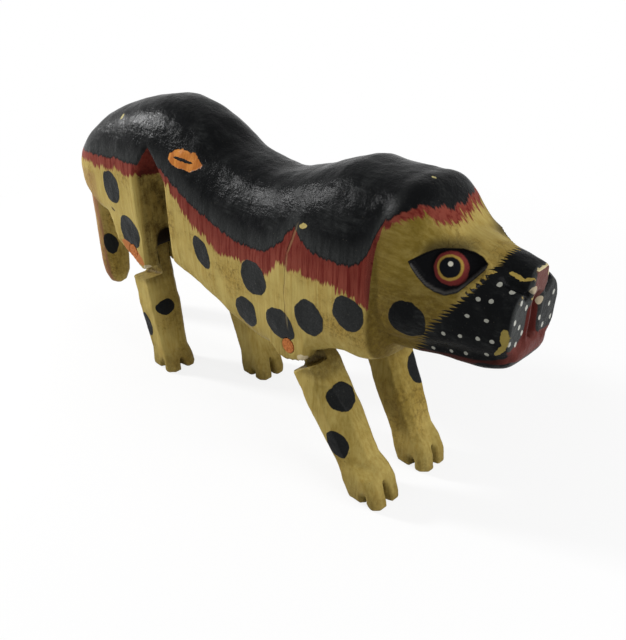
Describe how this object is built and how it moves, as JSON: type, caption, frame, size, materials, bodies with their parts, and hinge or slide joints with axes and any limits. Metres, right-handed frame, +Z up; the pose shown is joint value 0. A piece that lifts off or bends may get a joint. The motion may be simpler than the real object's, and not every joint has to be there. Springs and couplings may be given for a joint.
{
  "type": "jointed carved wooden animal",
  "caption": "Carved and painted wooden spotted animal that stands on swinging legs lapped into the body on wooden dowels, with a pegged hanging tail.",
  "frame": {"origin": "on the ground, under the middle of the figure's bounding box", "axes": "+X towards the nose, +Y towards the animal's left, +Z up"},
  "size_m": [0.339, 0.0622, 0.1711],
  "materials": {
    "painted_wood": "hand-painted, worn satin varnish",
    "dowel_wood": "bare end grain"
  },
  "bodies": {
    "block": {"body": "painted_wood", "pin_front_right": "dowel_wood", "pin_front_left": "dowel_wood", "pin_hind_right": "dowel_wood", "pin_hind_left": "dowel_wood", "tail": "painted_wood", "tail_peg": "dowel_wood"},
    "front_right": {"leg_front_right": "painted_wood"},
    "front_left": {"leg_front_left": "painted_wood"},
    "hind_right": {"leg_hind_right": "painted_wood"},
    "hind_left": {"leg_hind_left": "painted_wood"}
  },
  "joints": [
    {"name": "front_right_swing", "type": "hinge", "parent": "block", "child": "front_right", "pos_m": [0.0576, -0.0145, 0.0705], "axis": [0, -1, 0], "range_deg": [-48, 15]},
    {"name": "front_left_swing", "type": "hinge", "parent": "block", "child": "front_left", "pos_m": [0.0726, 0.0145, 0.078], "axis": [0, -1, 0], "range_deg": [-48, 20]},
    {"name": "hind_right_swing", "type": "hinge", "parent": "block", "child": "hind_right", "pos_m": [-0.0804, -0.0145, 0.078], "axis": [0, -1, 0], "range_deg": [-48, 32]},
    {"name": "hind_left_swing", "type": "hinge", "parent": "block", "child": "hind_left", "pos_m": [-0.0389, 0.0145, 0.08], "axis": [0, -1, 0], "range_deg": [-52, 28]}
  ]
}
